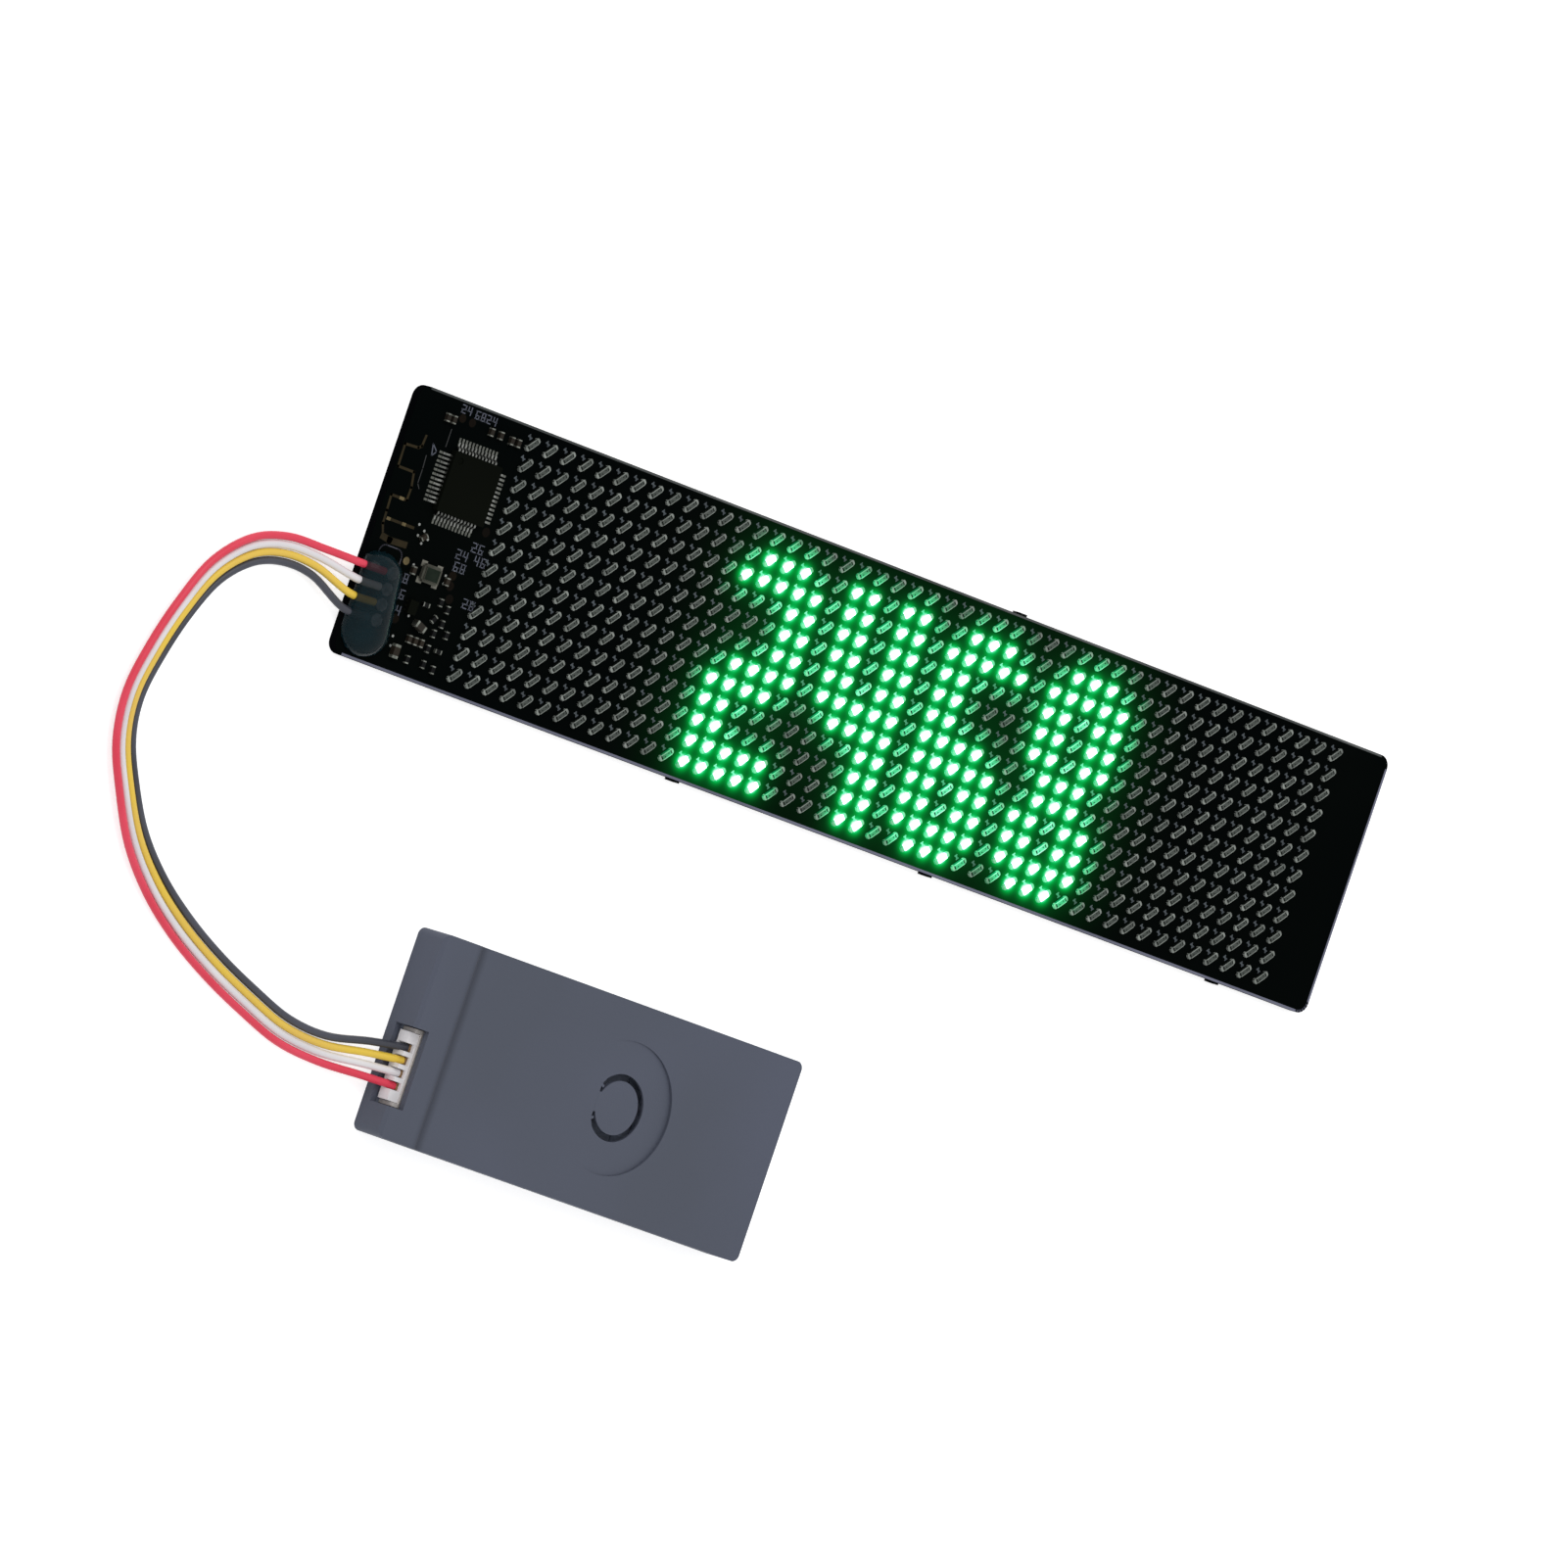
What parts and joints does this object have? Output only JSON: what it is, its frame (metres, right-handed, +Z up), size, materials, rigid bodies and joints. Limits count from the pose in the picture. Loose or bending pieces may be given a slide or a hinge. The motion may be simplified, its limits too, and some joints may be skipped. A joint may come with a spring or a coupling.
{
  "type": "led dot matrix display",
  "caption": "Black board carrying a dot matrix of small surface-mounted LEDs, wired by a four-core lead to a flat grey battery pack with a push button.",
  "frame": {"origin": "on the surface that the board and the pack lie on, at the middle of the box around both", "axes": "+X along the board away from the lead, +Y across the board away from the pack, +Z up out of the LED side"},
  "size_m": [0.1785, 0.0804, 0.0049],
  "materials": {
    "board_black": "black solder mask, satin",
    "led_unlit": "pale resin body with tinned ends",
    "chip_black": "fine matt moulding compound",
    "tinned_lead": "tin plated, satin",
    "crystal_case": "grey brown lid on a ceramic base",
    "capacitor_body": "fired ceramic with tinned ends",
    "resistor_body": "dark glaze with tinned ends",
    "ferrite": "dark sintered ferrite",
    "solder": "bright solder",
    "glue": "cloudy translucent hot-melt glue",
    "wire_red": "smooth insulation",
    "wire_white": "smooth insulation",
    "wire_yellow": "smooth insulation",
    "wire_black": "smooth insulation",
    "plug_white": "white nylon",
    "contact_metal": "tinned bronze",
    "header_beige": "natural nylon",
    "pack_grey": "fine spark-eroded grain",
    "switch_black": "moulded switch body",
    "plunger_ivory": "moulded",
    "inner_board": "pale grey-blue solder mask",
    "cell_foil": "laminated foil pouch"
  },
  "bodies": {
    "frame": {"display_board": "board_black", "led_row_1": "led_unlit", "led_row_2": "led_unlit", "led_row_3": "led_unlit", "led_row_4": "led_unlit", "led_row_5": "led_unlit", "led_row_6": "led_unlit", "led_row_7": "led_unlit", "led_row_8": "led_unlit", "led_row_9": "led_unlit", "led_row_10": "led_unlit", "led_row_11": "led_unlit", "led_row_12": "led_unlit", "controller_body": "chip_black", "controller_leads": "tinned_lead", "crystal": "crystal_case", "chip_capacitors": "capacitor_body", "chip_resistors": "resistor_body", "power_switch_chip": "chip_black", "ferrite_bead": "ferrite", "protection_diode": "chip_black", "solder_joints": "solder", "glue_bead": "glue", "wire_red": "wire_red", "wire_white": "wire_white", "wire_yellow": "wire_yellow", "wire_black": "wire_black", "plug_housing": "plug_white", "plug_contacts": "contact_metal", "header_housing": "header_beige", "header_pins": "tinned_lead", "pack_cover": "pack_grey", "pack_base": "pack_grey", "switch_body": "switch_black", "pack_board": "inner_board", "converter_chip": "chip_black", "power_inductor": "ferrite", "pack_capacitors": "capacitor_body", "battery_cell": "cell_foil", "cell_tabs": "tinned_lead"},
    "button": {"button_tongue": "pack_grey"},
    "plunger": {"switch_plunger": "plunger_ivory"}
  },
  "joints": [
    {"name": "button_press", "type": "hinge", "parent": "frame", "child": "button", "pos_m": [-0.0226, -0.0283, 0.00395], "axis": [0, 1, 0], "range_deg": [0, 3.2], "stiffness_Nm_per_rad": 0.06},
    {"name": "switch_press", "type": "slide", "parent": "frame", "child": "plunger", "axis": [0, 0, -1], "range_m": [0, 0.0001807]}
  ],
  "couplings": [
    {"joint": "switch_press", "follows": "button_press", "m_per_rad": 0.0032}
  ]
}
